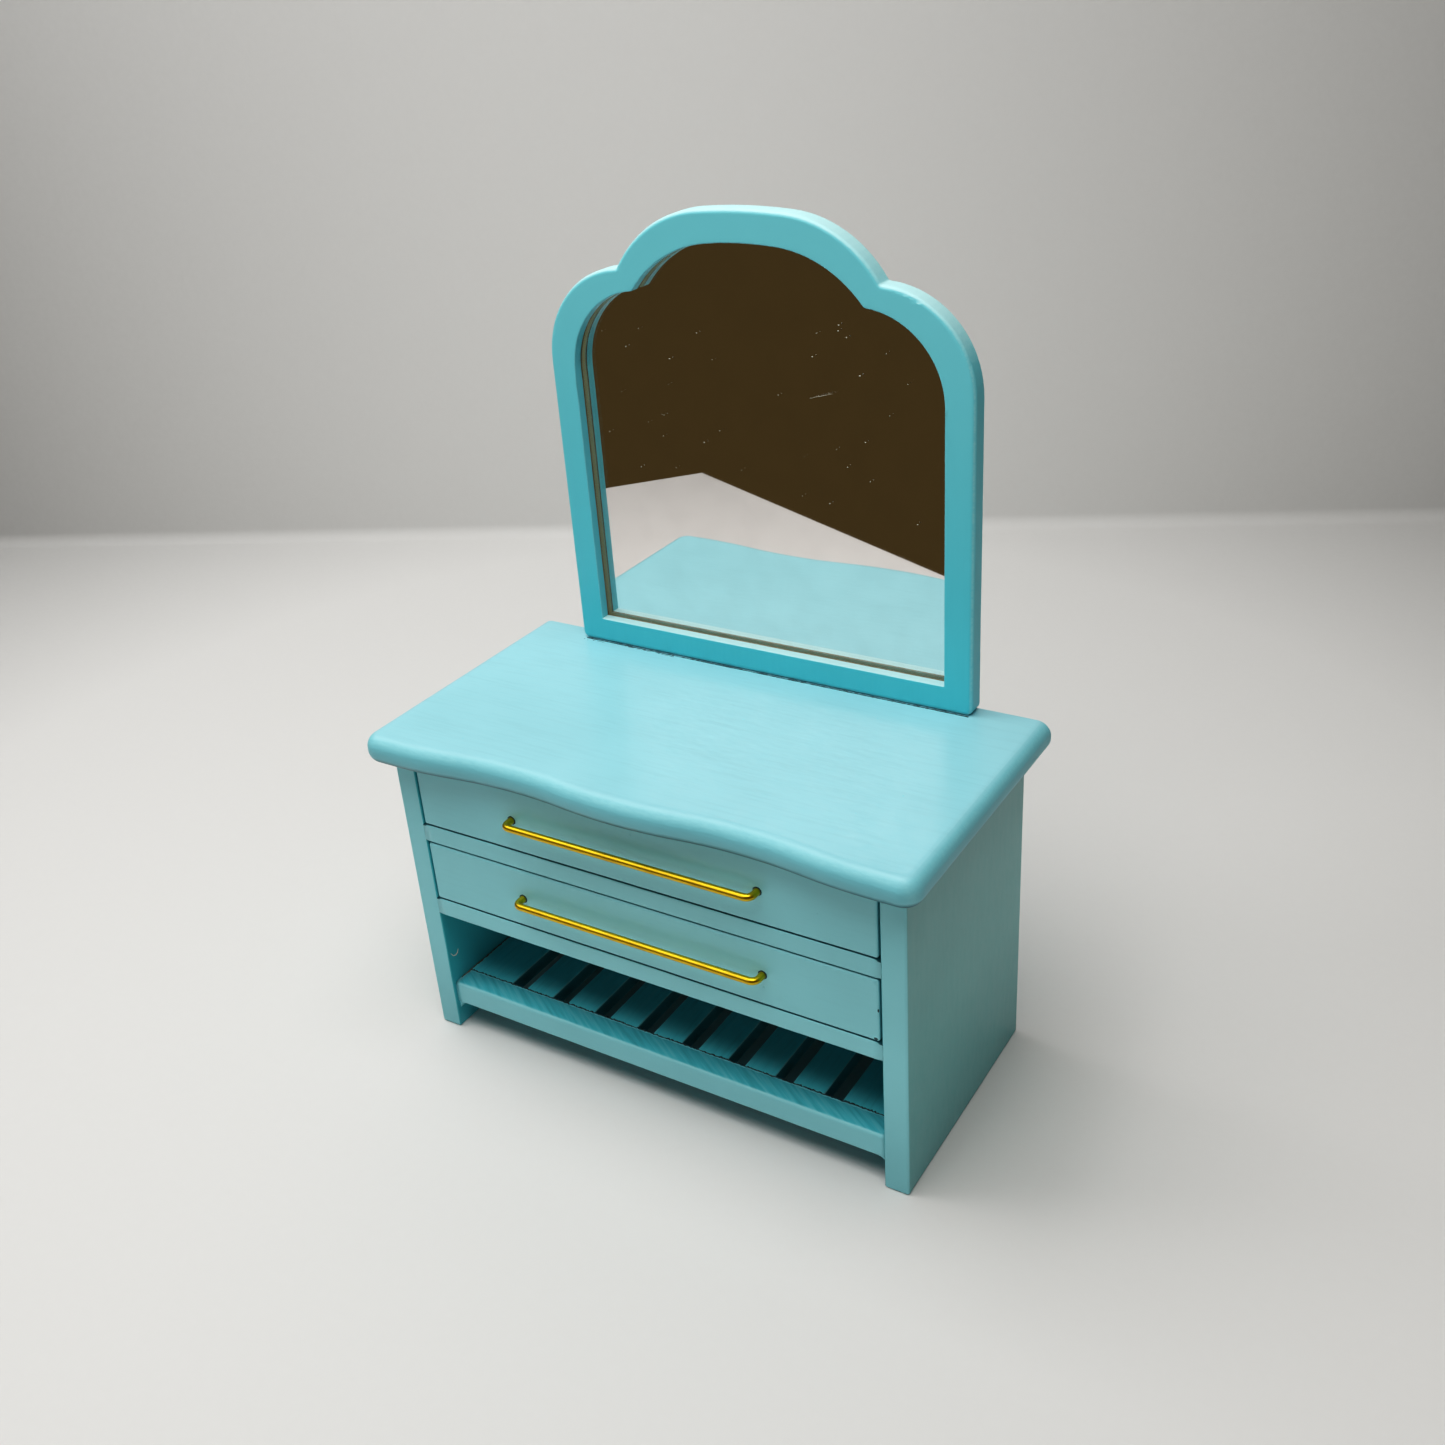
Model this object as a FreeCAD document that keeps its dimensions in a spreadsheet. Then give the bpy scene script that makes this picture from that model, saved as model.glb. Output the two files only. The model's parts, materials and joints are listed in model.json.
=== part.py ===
"""A miniature dressing table: a painted case with two drawers, a slatted shelf and a mirror.

Millimetres. +X is right and -Y is front as the table is faced, +Z is up, and the origin is
under the middle of the whole table, on the floor. Each sub-part is one object of the
document, labelled with the name of its file, and sized from the sheet of dimensions.
"""
import FreeCAD, Part
import Sketcher
import math
import os
import re

# The driving dimensions: name, size in mm, and what it measures.
DIMENSIONS = [
    ("top_width", 97.6, "top board, side to side"),
    ("top_depth", 49.15, "top board, back edge to its foremost corners"),
    ("top_thick", 5.0, "top board"),
    ("top_round", 2.3, "bullnose on the front and side edges"),
    ("top_corner", 3.0, "front corners of the top board, seen from above"),
    ("crest_x", 42.5, "where the front curve comes foremost near each corner"),
    ("valley_x", 20.0, "where the front curve is hollowest"),
    ("valley_in", 1.65, "how far the hollows lie behind the corners"),
    ("bow_out", 1.25, "how far the middle bow stands out of the hollows"),
    ("case_width", 91.3, "outside of the two sides"),
    ("case_high", 54.1, "floor to the underside of the top board"),
    ("case_depth", 42.9, "front to back of the sides"),
    ("case_setback", 3.84, "case front behind the foremost corners of the top"),
    ("side_thick", 4.05, "side boards"),
    ("side_soft", 0.45, "softened outer edges of the sides"),
    ("back_thick", 1.6, "back panel, between the sides"),
    ("shelf_low", 5.0, "underside of the shelf rails"),
    ("shelf_high", 9.4, "top of the shelf"),
    ("rail_setback", 0.66, "front rail of the shelf behind the case front"),
    ("rail_deep", 4.2, "shelf rails, seen from above"),
    ("rail_ledge", 2.0, "hidden ledge that the slats rest on"),
    ("rail_round", 0.6, "rounded front edges of the front rail"),
    ("slat_thick", 2.6, "shelf slats"),
    ("slat_pitch", 8.76, "one gap of the shelf to the next"),
    ("slat_gap", 3.1, "gap between two slats"),
    ("slat_soft", 0.25, "softened upper edges of the slats"),
    ("divider_low", 24.4, "underside of the board below the lower drawer"),
    ("divider_thick", 3.25, "the two boards that carry the drawers"),
    ("divider_soft", 0.25, "softened front edges of these boards"),
    ("middle_low", 39.1, "underside of the board between the drawers"),
    ("side_gap", 0.35, "beside a drawer front"),
    ("foot_gap", 0.2, "below a drawer"),
    ("head_gap", 0.25, "above a drawer front"),
    ("front_thick", 4.0, "drawer fronts"),
    ("front_soft", 0.4, "softened edges of the drawer fronts"),
    ("box_wall", 2.0, "sides and back of a drawer box"),
    ("box_floor", 1.4, "bottom of a drawer box"),
    ("box_high", 8.6, "sides of a drawer box"),
    ("box_depth", 38.7, "whole drawer, front to back"),
    ("wire", 1.2, "brass wire of the pulls"),
    ("pull_span", 44.5, "between the two holes of a pull"),
    ("pull_reach", 2.1, "from a drawer front to the middle of the wire"),
    ("pull_bend", 1.1, "bends of the wire, to its middle"),
    ("pull_root", 3.0, "depth of the wire ends in the drawer front"),
    ("mirror_thick", 3.4, "mirror frame"),
    ("frame_half", 37.1, "half the width of the frame"),
    ("frame_base", 59.1, "foot of the frame, on the top board"),
    ("frame_spring", 108.8, "where the side arcs of the frame begin"),
    ("frame_notch_x", 22.5, "notch between the side arcs and the crown"),
    ("frame_notch_z", 124.3, "height of that notch"),
    ("frame_crown_x", 7.5, "half the flat arc at the top of the crown"),
    ("frame_crown_round", 90.0, "radius of that flat arc"),
    ("frame_top", 133.8, "top of the frame"),
    ("sight_half", 32.4, "half the width of the opening"),
    ("sight_base", 63.5, "bottom of the opening"),
    ("sight_spring", 107.3, "where the side arcs of the opening begin"),
    ("sight_notch_x", 19.9, "cusp between the side arcs and the crown"),
    ("sight_notch_z", 120.9, "height of that cusp"),
    ("sight_crown_x", 6.0, "half the flat arc at the top of the opening"),
    ("sight_crown_round", 60.0, "radius of that flat arc"),
    ("sight_top", 128.95, "top of the opening"),
    ("frame_corner", 1.2, "bottom corners of the frame"),
    ("frame_crease", 0.6, "radius in the notches"),
    ("frame_round", 0.7, "rounded outer front edge of the frame"),
    ("frame_back_soft", 0.4, "softened outer back edge of the frame"),
    ("sight_cusp", 0.6, "radius on the cusps of the opening"),
    ("sight_soft", 0.2, "softened front edge of the opening"),
    ("rebate_lip", 1.4, "how far the rebate is wider than the opening"),
    ("rebate_deep", 1.4, "rebate, from the back of the frame"),
    ("glass_thick", 0.9, "mirror glass"),
    ("glass_slack", 0.1, "all round the glass and its backing"),
    ("dowel_round", 1.6, "dowels under the mirror, across"),
    ("dowel_long", 6.0, "half in the frame and half in the top board"),
    ("dowel_x", 22.0, "dowels each side of the middle"),
]
SLATS = 9
TOUCH = 0.01  # mm: places closer than this are the same place
RUN = 1.0  # mm: longer edges than this run along a board or through it
LEAST_CUT = 0.01  # mm3: a pocket that takes less than this has missed

doc = FreeCAD.newDocument("DressingTable")
sheet = doc.addObject("Spreadsheet::Sheet", "Sizes")
for row, (alias, size, _) in enumerate(DIMENSIONS, start=1):
    sheet.set(f"A{row}", str(size))
    sheet.setAlias(f"A{row}", alias)
doc.recompute()
ALIASES = {alias for alias, _, _ in DIMENSIONS}


# ---------------------------------------------------------------- working with the sheet

def formula(text):
    """Put the sheet's name before each dimension that the text names."""
    def named(word):
        return f"Sizes.{word.group()}" if word.group() in ALIASES else word.group()
    return re.sub(r"[a-z]\w*", named, text)


def size_of(text):
    """What a formula comes to, in millimetres."""
    result = sheet.evalExpression(formula(text))
    return float(getattr(result, "Value", result))


def bind(thing, **properties):
    """Tie properties to formulas. Place_x, place_y and place_z stand for the position."""
    for name, text in properties.items():
        if name.startswith("Place_"):
            name = "Placement.Base." + name[-1]
        thing.setExpression(name, formula(text))


# Formulas that several sub-parts share.
CASE_FRONT = "(case_setback - top_depth / 2)"
CASE_BACK = f"({CASE_FRONT} + case_depth)"
BAY_DEPTH = "(case_depth - back_thick)"
BAY_WIDTH = "(case_width - 2 * side_thick)"
MIRROR_FRONT = "(top_depth / 2 - mirror_thick)"
DRAWER_WIDTH = f"({BAY_WIDTH} - 2 * side_gap)"


# ---------------------------------------------------------------- sketches and features

def new_body(node):
    body = doc.addObject("PartDesign::Body", f"Body_{node}")
    body.Label = node
    return body


def new_sketch(body, name, role, lift=None):
    """An empty sketch on one of the body's own planes, lifted along its normal."""
    sketch = body.newObject("Sketcher::SketchObject", f"{name}_{body.Label}")
    plane = next(item for item in body.Origin.OriginFeatures if item.Role == role)
    sketch.AttachmentSupport = [(plane, "")]
    sketch.MapMode = "FlatFace"
    if lift:
        sketch.setExpression("AttachmentOffset.Base.z", formula(lift))
    return sketch


def constrain(sketch, kind, *places, text):
    """Add a dimension to the sketch and tie it to a formula."""
    index = sketch.addConstraint(Sketcher.Constraint(kind, *places, size_of(text)))
    sketch.setExpression(f"Constraints[{index}]", formula(text))


def pin(sketch, line, end, x, y):
    """Fix one end of a line, or the centre of a circle, at formulas for x and y."""
    constrain(sketch, "DistanceX", -1, 1, line, end, text=x)
    constrain(sketch, "DistanceY", -1, 1, line, end, text=y)


def arc_between(start, end, radius, clockwise):
    """The shorter arc of a radius from one point to another."""
    chord = end - start
    rise = math.sqrt(radius ** 2 - (chord.Length / 2) ** 2)
    left = FreeCAD.Vector(-chord.y, chord.x, 0).normalize()
    centre = (start + end) * 0.5 + left * (-rise if clockwise else rise)
    first, last = (end, start) if clockwise else (start, end)
    angles = [math.atan2(p.y - centre.y, p.x - centre.x) for p in (first, last)]
    circle = Part.Circle(centre, FreeCAD.Vector(0, 0, 1), radius)
    return Part.ArcOfCircle(circle, *angles)


def draw_outline(sketch, stations):
    """Draw a closed outline. A station is x, y and how to go on from there: nothing for a
    straight line, or the arc's radius and whether it turns clockwise."""
    points = [FreeCAD.Vector(size_of(x), size_of(y), 0) for x, y, *_ in stations]
    ends = []
    for index, (x, y, *bend) in enumerate(stations):
        start, end = points[index], points[(index + 1) % len(points)]
        if bend:
            radius, clockwise = bend
            curve = arc_between(start, end, size_of(radius), clockwise)
            line = sketch.addGeometry(curve)
            constrain(sketch, "Radius", line, text=radius)
            ends.append((line, 2, 1) if clockwise else (line, 1, 2))
        else:
            line = sketch.addGeometry(Part.LineSegment(start, end))
            ends.append((line, 1, 2))
        pin(sketch, line, ends[-1][1], x, y)
    for (line, _, last), (following, first, _) in zip(ends, ends[1:] + ends[:1]):
        sketch.addConstraint(Sketcher.Constraint("Coincident", line, last, following, first))


def draw_rectangle(sketch, left, bottom, right, top):
    draw_outline(sketch, [(left, bottom), (right, bottom), (right, top), (left, top)])


def draw_circles(sketch, centres, diameter):
    for x, y in centres:
        middle = FreeCAD.Vector(size_of(x), size_of(y), 0)
        shape = Part.Circle(middle, FreeCAD.Vector(0, 0, 1), size_of(diameter) / 2)
        circle = sketch.addGeometry(shape)
        pin(sketch, circle, 3, x, y)
        constrain(sketch, "Diameter", circle, text=diameter)


def pad(body, sketch, length, backwards=False):
    feature = body.newObject("PartDesign::Pad", f"Pad_{body.Label}")
    feature.Profile = sketch
    feature.Reversed = backwards
    bind(feature, Length=length)
    doc.recompute()


def pocket(body, sketch, length, backwards=False):
    """Cut a pocket, and make sure that it takes something away."""
    before = body.Shape.Volume
    feature = body.newObject("PartDesign::Pocket", f"Pocket_{sketch.Name}")
    feature.Profile = sketch
    feature.Reversed = backwards
    bind(feature, Length=length)
    doc.recompute()
    if feature.Shape.Volume > before - LEAST_CUT:
        raise RuntimeError(f"{feature.Name} cuts nothing")


def edges_where(shape, test):
    """The names of the edges whose bounding box passes a test."""
    numbered = enumerate(shape.Edges, start=1)
    return [f"Edge{number}" for number, edge in numbered if test(edge.BoundBox)]


def on(low, high, place):
    """Whether a stretch lies at one place along its axis."""
    return abs(low - place) < TOUCH and abs(high - place) < TOUCH


def soften(body, radius, test):
    """Round the edges of the body's last feature that pass a test."""
    base = body.Tip
    feature = body.newObject("PartDesign::Fillet", f"Fillet_{body.Label}")
    feature.Base = (base, edges_where(base.Shape, test))
    bind(feature, Radius=radius)
    doc.recompute()


def board(node, width, depth, height, **place):
    """A padded board: its corner at the left, front and bottom, then placed."""
    body = new_body(node)
    sketch = new_sketch(body, "Outline", "XY_Plane")
    draw_rectangle(sketch, "0", "0", width, depth)
    pad(body, sketch, height)
    bind(body, **place)
    return body


def plain_box(node, width, depth, height, **place):
    """A sawn board with no softened edges."""
    box = doc.addObject("Part::Box", f"Box_{node}")
    box.Label = node
    bind(box, Length=width, Width=depth, Height=height, **place)
    return box


# ---------------------------------------------------------------- the case

def side_panel(node, left, outside):
    """One side, down to the floor. Its inner front edge stays square against the rails."""
    body = board(node, "side_thick", "case_depth", "case_high",
                 Place_x=left, Place_y=CASE_FRONT)
    outer = size_of(outside)

    def outer_or_foot(box):
        upright = on(box.XMin, box.XMax, outer) and box.ZLength > RUN
        return upright or on(box.ZMin, box.ZMax, 0)
    soften(body, "side_soft", outer_or_foot)


def top_board():
    """The top: an outline with a serpentine front, and a bullnose all along front and sides."""
    body = new_body("top_board")
    sketch = new_sketch(body, "Outline", "XY_Plane")
    edge, back, front = "top_width / 2", "top_depth / 2", "-top_depth / 2"
    valley = f"{front} + valley_in"
    # A wave from crest to hollow is two equal arcs that meet halfway.
    outer_x, outer_y = "(crest_x + valley_x) / 2", f"{front} + valley_in / 2"
    outer_round = "((crest_x - valley_x)^2 / 4 + valley_in^2 / 4) / valley_in"
    inner_x, inner_y = "valley_x / 2", f"{valley} - bow_out / 2"
    inner_round = "(valley_x^2 / 4 + bow_out^2 / 4) / bow_out"
    draw_outline(sketch, [
        (f"-{edge}", back),
        (f"-{edge}", f"{front} + top_corner", "top_corner", False),
        (f"-{edge} + top_corner", front),
        ("-crest_x", front, outer_round, False),
        (f"-{outer_x}", outer_y, outer_round, True),
        ("-valley_x", valley, inner_round, True),
        (f"-{inner_x}", inner_y, inner_round, False),
        (inner_x, inner_y, inner_round, True),
        ("valley_x", valley, outer_round, True),
        (outer_x, outer_y, outer_round, False),
        ("crest_x", front),
        (f"{edge} - top_corner", front, "top_corner", False),
        (edge, f"{front} + top_corner"),
        (edge, back),
    ])
    pad(body, sketch, "top_thick")
    behind = size_of(back)

    def front_or_side(box):
        return box.ZLength < TOUCH and not on(box.YMin, box.YMax, behind)
    soften(body, "top_round", front_or_side)
    holes = new_sketch(body, "Holes", "XY_Plane", lift="top_thick")
    middle = "(top_depth - mirror_thick) / 2"
    draw_circles(holes, [("-dowel_x", middle), ("dowel_x", middle)], "dowel_round")
    pocket(body, holes, "dowel_long / 2")
    bind(body, Place_z="case_high")


def drawer_board(node, low):
    """A full-depth board that a drawer runs on; its front edge shows as a rail."""
    body = board(node, BAY_WIDTH, BAY_DEPTH, "divider_thick",
                 Place_x=f"-{BAY_WIDTH} / 2", Place_y=CASE_FRONT, Place_z=low)
    soften(body, "divider_soft", lambda box: on(box.YMin, box.YMax, 0) and box.XLength > RUN)


# ---------------------------------------------------------------- the slatted shelf

def shelf_rail(node, front, ledge_behind):
    """A rail of the shelf with a ledge under the slats' ends, as an L in section."""
    body = new_body(node)
    sketch = new_sketch(body, "Section", "YZ_Plane")
    reach = "rail_deep + rail_ledge"
    step = "shelf_high - slat_thick"
    if ledge_behind:
        outline = [("0", "shelf_low"), (reach, "shelf_low"), (reach, step),
                   ("rail_deep", step), ("rail_deep", "shelf_high"), ("0", "shelf_high")]
    else:
        outline = [("0", "shelf_low"), (reach, "shelf_low"), (reach, "shelf_high"),
                   ("rail_ledge", "shelf_high"), ("rail_ledge", step), ("0", step)]
    draw_outline(sketch, outline)
    pad(body, sketch, BAY_WIDTH)
    bind(body, Place_x=f"-{BAY_WIDTH} / 2", Place_y=front)
    return body


def front_rail():
    body = shelf_rail("shelf_front_rail", f"{CASE_FRONT} + rail_setback", ledge_behind=True)
    soften(body, "rail_round", lambda box: on(box.YMin, box.YMax, 0) and box.XLength > RUN)


def shelf_slats():
    """Slats from rail to rail. The first and last fill out to the sides."""
    length = f"({BAY_DEPTH} - rail_setback - 2 * rail_deep)"
    front = f"{CASE_FRONT} + rail_setback + rail_deep"
    last = SLATS - 1
    for number in range(SLATS):
        left = f"({number} - {last / 2}) * slat_pitch - (slat_pitch - slat_gap) / 2"
        right = f"({number} - {last / 2}) * slat_pitch + (slat_pitch - slat_gap) / 2"
        if number == 0:
            left = f"-{BAY_WIDTH} / 2"
        if number == last:
            right = f"{BAY_WIDTH} / 2"
        body = board(f"shelf_slat_{number + 1}", f"({right}) - ({left})", length, "slat_thick",
                     Place_x=left, Place_y=front, Place_z="shelf_high - slat_thick")
        crown = size_of("slat_thick")
        soften(body, "slat_soft", lambda box: on(box.ZMin, box.ZMax, crown) and box.YLength > RUN)


# ---------------------------------------------------------------- the drawers

def drawer(name, floor, front_high):
    """A drawer: a painted front, a plain wood box behind it, and a wire pull."""
    left = f"-{DRAWER_WIDTH} / 2"
    inside = f"({DRAWER_WIDTH} - 2 * box_wall)"
    behind = f"{CASE_FRONT} + front_thick"
    run = "box_depth - front_thick"
    front = drawer_front(f"{name}_front", front_high)
    bind(front, Place_x=left, Place_y=CASE_FRONT, Place_z=floor)
    for side, place in (("left", left), ("right", f"{DRAWER_WIDTH} / 2 - box_wall")):
        plain_box(f"{name}_side_{side}", "box_wall", run, "box_high",
                  Place_x=place, Place_y=behind, Place_z=floor)
    plain_box(f"{name}_back", inside, "box_wall", "box_high",
              Place_x=f"{left} + box_wall", Place_y=f"{CASE_FRONT} + box_depth - box_wall",
              Place_z=floor)
    plain_box(f"{name}_bottom", inside, f"{run} - box_wall", "box_floor",
              Place_x=f"{left} + box_wall", Place_y=behind, Place_z=floor)
    pull = wire_pull(f"{name}_pull")
    bind(pull, Place_y=CASE_FRONT, Place_z=f"{floor} + ({front_high}) / 2")


def drawer_front(node, high):
    """The front board, with two holes for the ends of the pull."""
    body = new_body(node)
    sketch = new_sketch(body, "Outline", "XZ_Plane")
    draw_rectangle(sketch, "0", "0", DRAWER_WIDTH, high)
    pad(body, sketch, "front_thick", backwards=True)
    soften(body, "front_soft", lambda box: on(box.YMin, box.YMax, 0) or box.YLength > RUN)
    holes = new_sketch(body, "Holes", "XZ_Plane")
    middle = f"{DRAWER_WIDTH} / 2"
    centres = [(f"{middle} - pull_span / 2", f"({high}) / 2"),
               (f"{middle} + pull_span / 2", f"({high}) / 2")]
    draw_circles(holes, centres, "wire")
    pocket(body, holes, "pull_root")
    return body


def wire_pull(node):
    """A length of wire bent twice, with both ends in the drawer front."""
    body = new_body(node)
    path = new_sketch(body, "Path", "XY_Plane")
    out, turn, half = "pull_reach", "pull_bend", "pull_span / 2"
    stops = [
        (f"-{half}", "pull_root"),
        (f"-{half}", f"{turn} - {out}", turn, False),
        (f"{turn} - {half}", f"-{out}"),
        (f"{half} - {turn}", f"-{out}", turn, False),
        (half, f"{turn} - {out}"),
        (half, "pull_root"),
    ]
    draw_outline(path, stops)
    closing_line = len(stops) - 1
    path.delGeometry(closing_line)
    section = new_sketch(body, "Section", "XZ_Plane", lift="-pull_root")
    draw_circles(section, [(f"-{half}", "0")], "wire")
    doc.recompute()
    pipe = body.newObject("PartDesign::AdditivePipe", f"Pipe_{node}")
    pipe.Profile = section
    pipe.Spine = (path, [f"Edge{number + 1}" for number in range(closing_line)])
    doc.recompute()
    return body


# ---------------------------------------------------------------- the mirror

def draw_scallop(sketch, part, grow="0"):
    """The mirror's outline: straight sides, an arc over each, and a crown between notches.
    The part is frame or sight, and grow widens the outline all round."""
    side, foot = f"({part}_half + {grow})", f"({part}_base - ({grow}))"
    spring, top = f"{part}_spring", f"({part}_top + {grow})"
    notch_x, notch_z = f"({part}_notch_x + ({grow}) / 2)", f"({part}_notch_z + {grow})"
    crown_x, crown_round = f"{part}_crown_x", f"({part}_crown_round + {grow})"
    # The side arc leaves the straight side smoothly and ends in the notch.
    across, rise = f"({side} - {notch_x})", f"({notch_z} - {spring})"
    side_round = f"({across}^2 + {rise}^2) / (2 * {across})"
    # The shoulder arc leaves the flat arc of the crown smoothly and ends in the notch.
    upright = f"sqrt({crown_round}^2 - {crown_x}^2)"
    crown_z = f"({top} - {crown_round} + {upright})"
    out, drop = f"({notch_x} - {crown_x})", f"({crown_z} - {notch_z})"
    lean = f"({drop} * {upright} - {out} * {crown_x})"
    shoulder = f"({out}^2 + {drop}^2) * {crown_round} / (2 * {lean})"
    draw_outline(sketch, [
        (f"-{side}", foot),
        (side, foot),
        (side, spring, side_round, False),
        (notch_x, notch_z, shoulder, False),
        (crown_x, crown_z, crown_round, False),
        (f"-{crown_x}", crown_z, shoulder, False),
        (f"-{notch_x}", notch_z, side_round, False),
        (f"-{side}", spring),
    ])


def at_x(box, place):
    """Whether an edge runs through the frame at one distance from the middle."""
    return box.YLength > RUN and on(abs(box.XMin), abs(box.XMax), place)


def soften_frame(body):
    """Ease the notches and bottom corners, then the outer edges, before the opening is cut."""
    notch, foot = size_of("frame_notch_x"), size_of("frame_base")
    back = size_of("mirror_thick")
    soften(body, "frame_crease", lambda box: at_x(box, notch))
    soften(body, "frame_corner", lambda box: box.YLength > RUN and on(box.ZMin, box.ZMax, foot))
    soften(body, "frame_round", lambda box: on(box.YMin, box.YMax, 0))
    soften(body, "frame_back_soft", lambda box: on(box.YMin, box.YMax, back))


def soften_opening(body):
    """Ease the cusps of the opening, and then its front edge."""
    cusp_x, cusp_z = size_of("sight_notch_x"), size_of("sight_notch_z")
    side, low, high = size_of("sight_half"), size_of("sight_base"), size_of("sight_top")
    soften(body, "sight_cusp", lambda box: at_x(box, cusp_x))

    def rim(box):
        inside = max(-box.XMin, box.XMax) < side + TOUCH
        level = box.ZMin > low - TOUCH and box.ZMax < high + TOUCH
        # The frame's own notches are further out and higher than the cusps.
        by_notch = min(abs(box.XMin), abs(box.XMax)) > cusp_x and box.ZMin > cusp_z
        return on(box.YMin, box.YMax, 0) and inside and level and not by_notch
    soften(body, "sight_soft", rim)


def mirror_frame():
    """The frame, cut from one board, with a rebate at the back for the glass."""
    body = new_body("mirror_frame")
    outline = new_sketch(body, "Outline", "XZ_Plane")
    draw_scallop(outline, "frame")
    pad(body, outline, "mirror_thick", backwards=True)
    soften_frame(body)
    opening = new_sketch(body, "Opening", "XZ_Plane")
    draw_scallop(opening, "sight")
    pocket(body, opening, "mirror_thick")
    soften_opening(body)
    rebate = new_sketch(body, "Rebate", "XZ_Plane", lift="-mirror_thick")
    draw_scallop(rebate, "sight", grow="rebate_lip")
    pocket(body, rebate, "rebate_deep", backwards=True)
    holes = new_sketch(body, "Holes", "XY_Plane", lift="frame_base")
    middle = "mirror_thick / 2"
    draw_circles(holes, [("-dowel_x", middle), ("dowel_x", middle)], "dowel_round")
    pocket(body, holes, "dowel_long / 2", backwards=True)
    bind(body, Place_y=MIRROR_FRONT)


def mirror_sheet(node, thick, behind):
    """A sheet that fills the rebate: the glass, or the backing behind it."""
    body = new_body(node)
    outline = new_sketch(body, "Outline", "XZ_Plane")
    draw_scallop(outline, "sight", grow="rebate_lip - glass_slack")
    pad(body, outline, thick, backwards=True)
    bind(body, Place_y=f"{MIRROR_FRONT} + mirror_thick - rebate_deep + {behind}")


def mirror_dowels():
    """Two dowels, half in the frame and half in the top board."""
    pair = []
    for name, x in (("left", "-dowel_x"), ("right", "dowel_x")):
        dowel = doc.addObject("Part::Cylinder", f"Dowel_{name}")
        bind(dowel, Radius="dowel_round / 2", Height="dowel_long", Place_x=x,
             Place_y=f"{MIRROR_FRONT} + mirror_thick / 2", Place_z="frame_base - dowel_long / 2")
        pair.append(dowel)
    group = doc.addObject("Part::Compound", "Group_mirror_dowels")
    group.Label = "mirror_dowels"
    group.Links = pair


# ---------------------------------------------------------------- the whole table

side_panel("side_panel_left", "-case_width / 2", "0")
side_panel("side_panel_right", "case_width / 2 - side_thick", "side_thick")
plain_box("back_panel", BAY_WIDTH, "back_thick", "case_high - shelf_low",
          Place_x=f"-{BAY_WIDTH} / 2", Place_y=f"{CASE_BACK} - back_thick", Place_z="shelf_low")
drawer_board("lower_divider", "divider_low")
drawer_board("drawer_divider", "middle_low")
top_board()
front_rail()
shelf_rail("shelf_back_rail", f"{CASE_BACK} - back_thick - rail_deep - rail_ledge",
           ledge_behind=False)
shelf_slats()
drawer("lower_drawer", "divider_low + divider_thick + foot_gap",
       "middle_low - divider_low - divider_thick - foot_gap - head_gap")
drawer("upper_drawer", "middle_low + divider_thick + foot_gap",
       "case_high - middle_low - divider_thick - foot_gap - head_gap")
mirror_frame()
mirror_sheet("mirror_glass", "glass_thick", "0")
mirror_sheet("mirror_backing", "rebate_deep - glass_thick", "glass_thick")
mirror_dowels()
doc.recompute()

failed = [item.Name for item in doc.Objects if {"Invalid", "Error"} & set(item.State)]
if failed:
    raise RuntimeError(f"these did not compute: {failed}")
kinds = ("PartDesign::Body", "Part::Box", "Part::Compound")
sub_parts = [item for item in doc.Objects if item.TypeId in kinds]
for item in sub_parts:
    if item.Shape.isNull() or not item.Shape.isValid():
        raise RuntimeError(f"{item.Label} has no valid shape")
os.makedirs("parts", exist_ok=True)
for item in sub_parts:
    item.Shape.exportStep(f"parts/{item.Label}.step")
    print(f"{item.Label}: {item.Shape.Volume:.1f} mm3, {len(item.Shape.Solids)} solid(s)")
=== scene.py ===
"""Looks for the miniature dressing table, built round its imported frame.

Metres, +Z up, the front faces -Y, in the frame's own place. Sizes are in mm times MM, except
where a comment says that they are in mm. Colours are linear, with an opacity of 1.
"""

import json
import math
import random

import bmesh
import bpy
from mathutils import Matrix, Vector, noise


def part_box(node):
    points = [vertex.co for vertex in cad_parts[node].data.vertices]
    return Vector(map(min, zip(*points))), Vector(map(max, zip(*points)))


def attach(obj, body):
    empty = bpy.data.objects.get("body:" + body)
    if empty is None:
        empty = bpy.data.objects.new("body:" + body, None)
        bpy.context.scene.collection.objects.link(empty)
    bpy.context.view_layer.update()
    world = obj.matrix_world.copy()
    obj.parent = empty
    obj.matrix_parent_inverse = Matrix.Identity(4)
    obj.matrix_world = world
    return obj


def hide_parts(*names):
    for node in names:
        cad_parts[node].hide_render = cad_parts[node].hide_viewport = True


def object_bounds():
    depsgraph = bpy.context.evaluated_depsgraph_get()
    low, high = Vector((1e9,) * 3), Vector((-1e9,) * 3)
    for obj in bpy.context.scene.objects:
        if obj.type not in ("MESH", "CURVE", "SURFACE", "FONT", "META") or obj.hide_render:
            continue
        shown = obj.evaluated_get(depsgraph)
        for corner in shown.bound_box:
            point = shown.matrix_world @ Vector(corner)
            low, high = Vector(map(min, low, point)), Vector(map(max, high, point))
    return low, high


MM = 0.001
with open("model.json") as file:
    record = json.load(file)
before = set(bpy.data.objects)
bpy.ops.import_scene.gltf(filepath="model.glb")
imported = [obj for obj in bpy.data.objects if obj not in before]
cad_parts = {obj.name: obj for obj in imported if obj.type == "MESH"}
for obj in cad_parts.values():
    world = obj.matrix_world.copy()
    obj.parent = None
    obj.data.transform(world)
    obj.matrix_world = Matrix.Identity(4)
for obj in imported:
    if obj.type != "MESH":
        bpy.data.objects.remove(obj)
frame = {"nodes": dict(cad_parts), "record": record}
CAD_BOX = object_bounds()
SCENE = bpy.context.scene
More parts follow.
